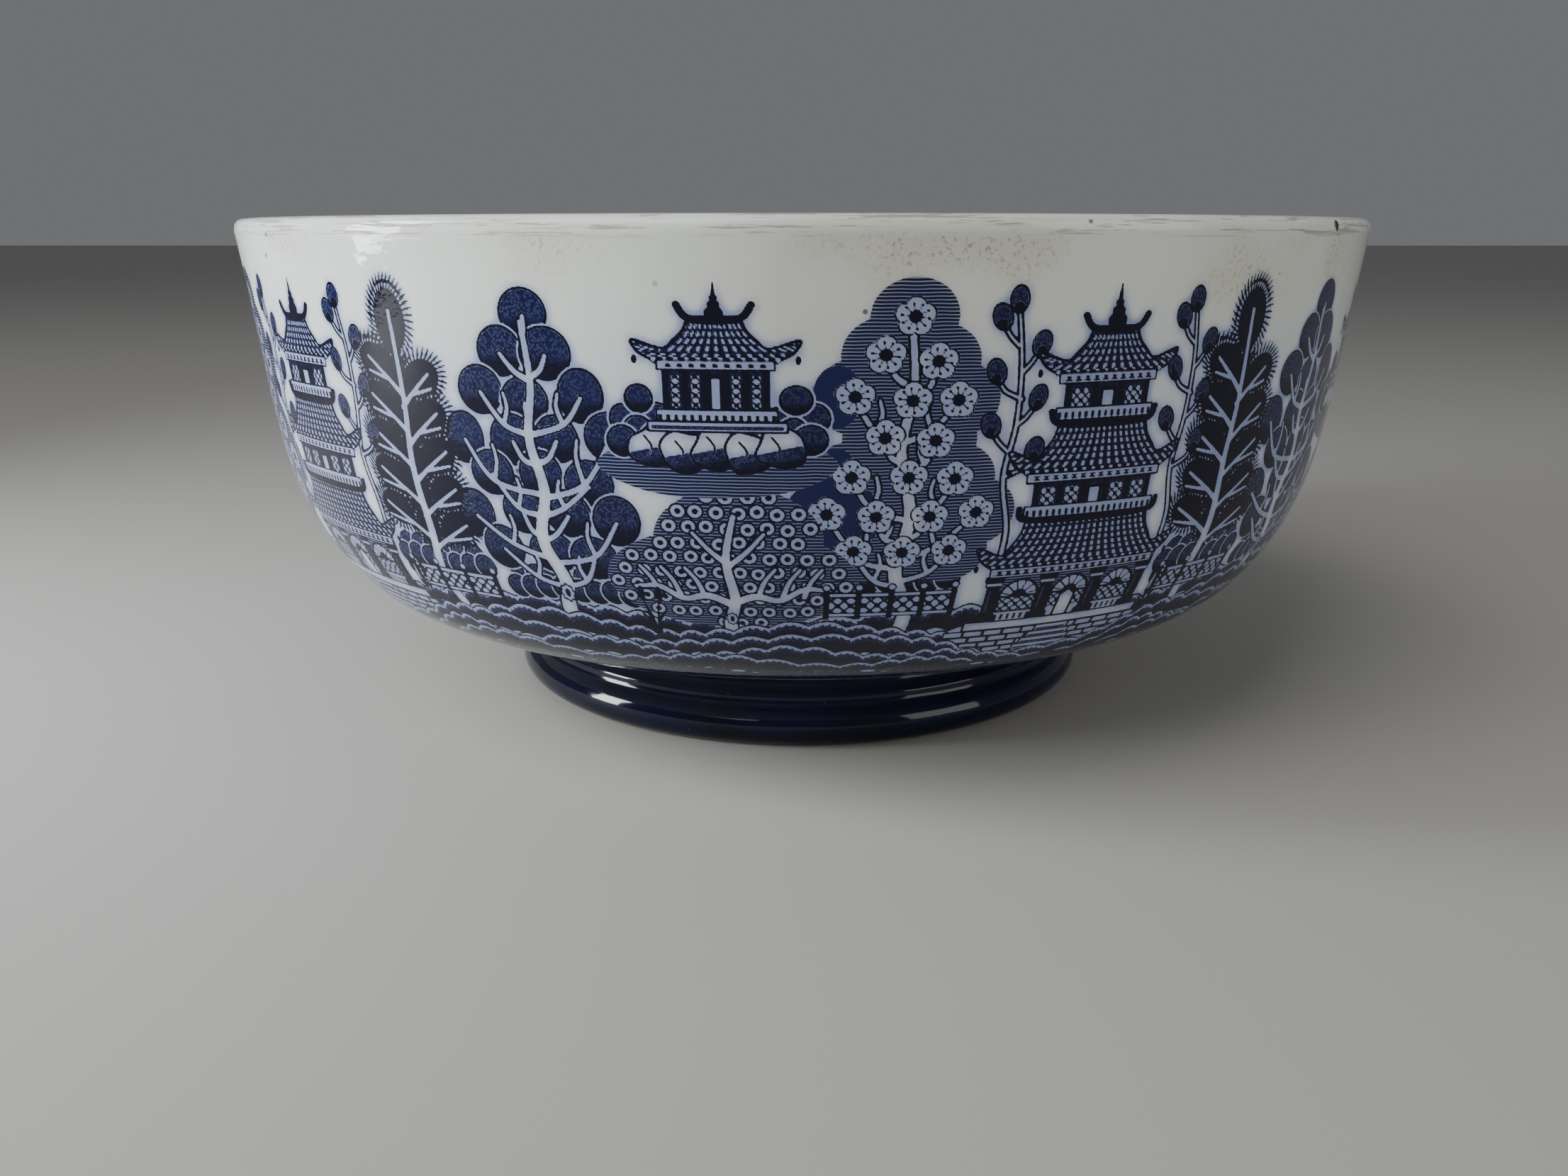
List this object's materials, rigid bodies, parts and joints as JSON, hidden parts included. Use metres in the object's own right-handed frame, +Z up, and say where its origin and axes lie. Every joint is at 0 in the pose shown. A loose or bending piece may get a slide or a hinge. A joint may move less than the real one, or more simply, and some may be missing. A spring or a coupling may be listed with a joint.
{
  "type": "punch bowl",
  "caption": "Wide round footed bowl of printed, glazed earthenware for serving punch, with a rolled lip and a moulded foot ring.",
  "frame": {"origin": "on the bowl's axis, in the plane of the foot's flat resting face", "axes": "+Z up along the axis of the bowl, towards the rim; +X and +Y are equal, because the solids are round"},
  "size_m": [0.254, 0.254, 0.1086],
  "materials": {
    "printed_glaze": "blue transfer print under a clear gloss glaze on a pale body",
    "cobalt_glaze": "near-black cobalt blue gloss glaze",
    "slip_clay": "clay slip stained by the cobalt glaze that runs over it"
  },
  "bodies": {
    "root": {"bowl_body": "printed_glaze", "foot_ring": "cobalt_glaze", "luting_slip": "slip_clay"}
  },
  "joints": []
}
